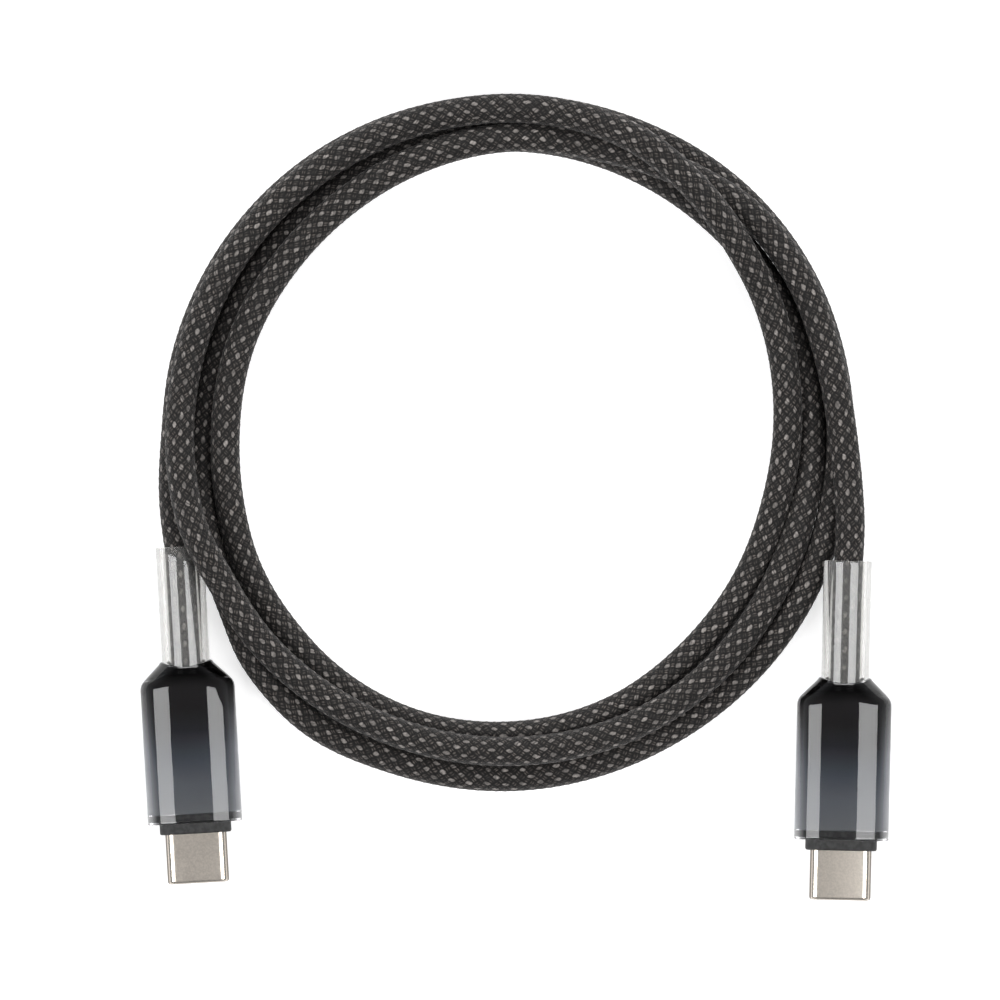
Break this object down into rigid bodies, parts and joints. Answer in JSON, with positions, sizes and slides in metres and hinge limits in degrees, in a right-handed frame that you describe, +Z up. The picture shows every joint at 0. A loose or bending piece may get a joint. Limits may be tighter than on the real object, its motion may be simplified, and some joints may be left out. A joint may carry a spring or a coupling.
{
  "type": "charging cable",
  "caption": "Braided charging cable with a reversible plug at each end, clear connector shells and clear strain reliefs, wound into a flat round coil.",
  "frame": {"origin": "on the surface that the cable lies on, in the middle of the two connectors' bounding box", "axes": "+Z up from that surface, -Y the way both plugs point, +X from the connector on the left to the one on the right"},
  "size_m": [0.101, 0.1084, 0.0116],
  "materials": {
    "clear_shell": "clear, polished and hard",
    "clear_sleeve": "clear, glossy and flexible",
    "graded_core": "satin, fading from black at the neck to grey at the plug",
    "black_plastic": "finely grained black moulding",
    "plug_steel": "satin drawn stainless steel",
    "sheet_steel": "stamped sheet",
    "contact_gold": "gold-plated spring alloy",
    "board_green": "solder-masked board",
    "ceramic_tan": "fired ceramic",
    "jacket_black": "smooth extruded elastomer",
    "braid": "tight black braid with a light grey fleck",
    "wire_red": "extruded insulation",
    "wire_green": "extruded insulation",
    "wire_blue": "extruded insulation",
    "wire_white": "extruded insulation",
    "wire_black": "extruded insulation"
  },
  "bodies": {
    "root": {"outer_shell_a": "clear_shell", "inner_core_a": "graded_core", "front_collar_a": "black_plastic", "plug_shell_a": "plug_steel", "contact_housing_a": "black_plastic", "contacts_upper_a": "contact_gold", "contacts_lower_a": "contact_gold", "ground_spring_upper_a": "sheet_steel", "ground_spring_lower_a": "sheet_steel", "latch_plate_a": "sheet_steel", "circuit_board_a": "board_green", "capacitor_a": "ceramic_tan", "marker_chip_a": "black_plastic", "shield_can_upper_a": "sheet_steel", "shield_can_lower_a": "sheet_steel", "jacket_end_a": "jacket_black", "crimp_ferrule_a": "sheet_steel", "strain_relief_a": "clear_sleeve", "wire_power_a": "wire_red", "wire_data_plus_a": "wire_green", "wire_control_a": "wire_blue", "wire_data_minus_a": "wire_white", "wire_ground_a": "wire_black", "outer_shell_b": "clear_shell", "inner_core_b": "graded_core", "front_collar_b": "black_plastic", "plug_shell_b": "plug_steel", "contact_housing_b": "black_plastic", "contacts_upper_b": "contact_gold", "contacts_lower_b": "contact_gold", "ground_spring_upper_b": "sheet_steel", "ground_spring_lower_b": "sheet_steel", "latch_plate_b": "sheet_steel", "circuit_board_b": "board_green", "capacitor_b": "ceramic_tan", "shield_can_upper_b": "sheet_steel", "shield_can_lower_b": "sheet_steel", "jacket_end_b": "jacket_black", "crimp_ferrule_b": "sheet_steel", "strain_relief_b": "clear_sleeve", "wire_power_b": "wire_red", "wire_data_plus_b": "wire_green", "wire_control_b": "wire_blue", "wire_data_minus_b": "wire_white", "wire_ground_b": "wire_black", "cord_coil": "braid", "cord_lead_a": "braid", "cord_lead_b": "braid"}
  },
  "joints": []
}
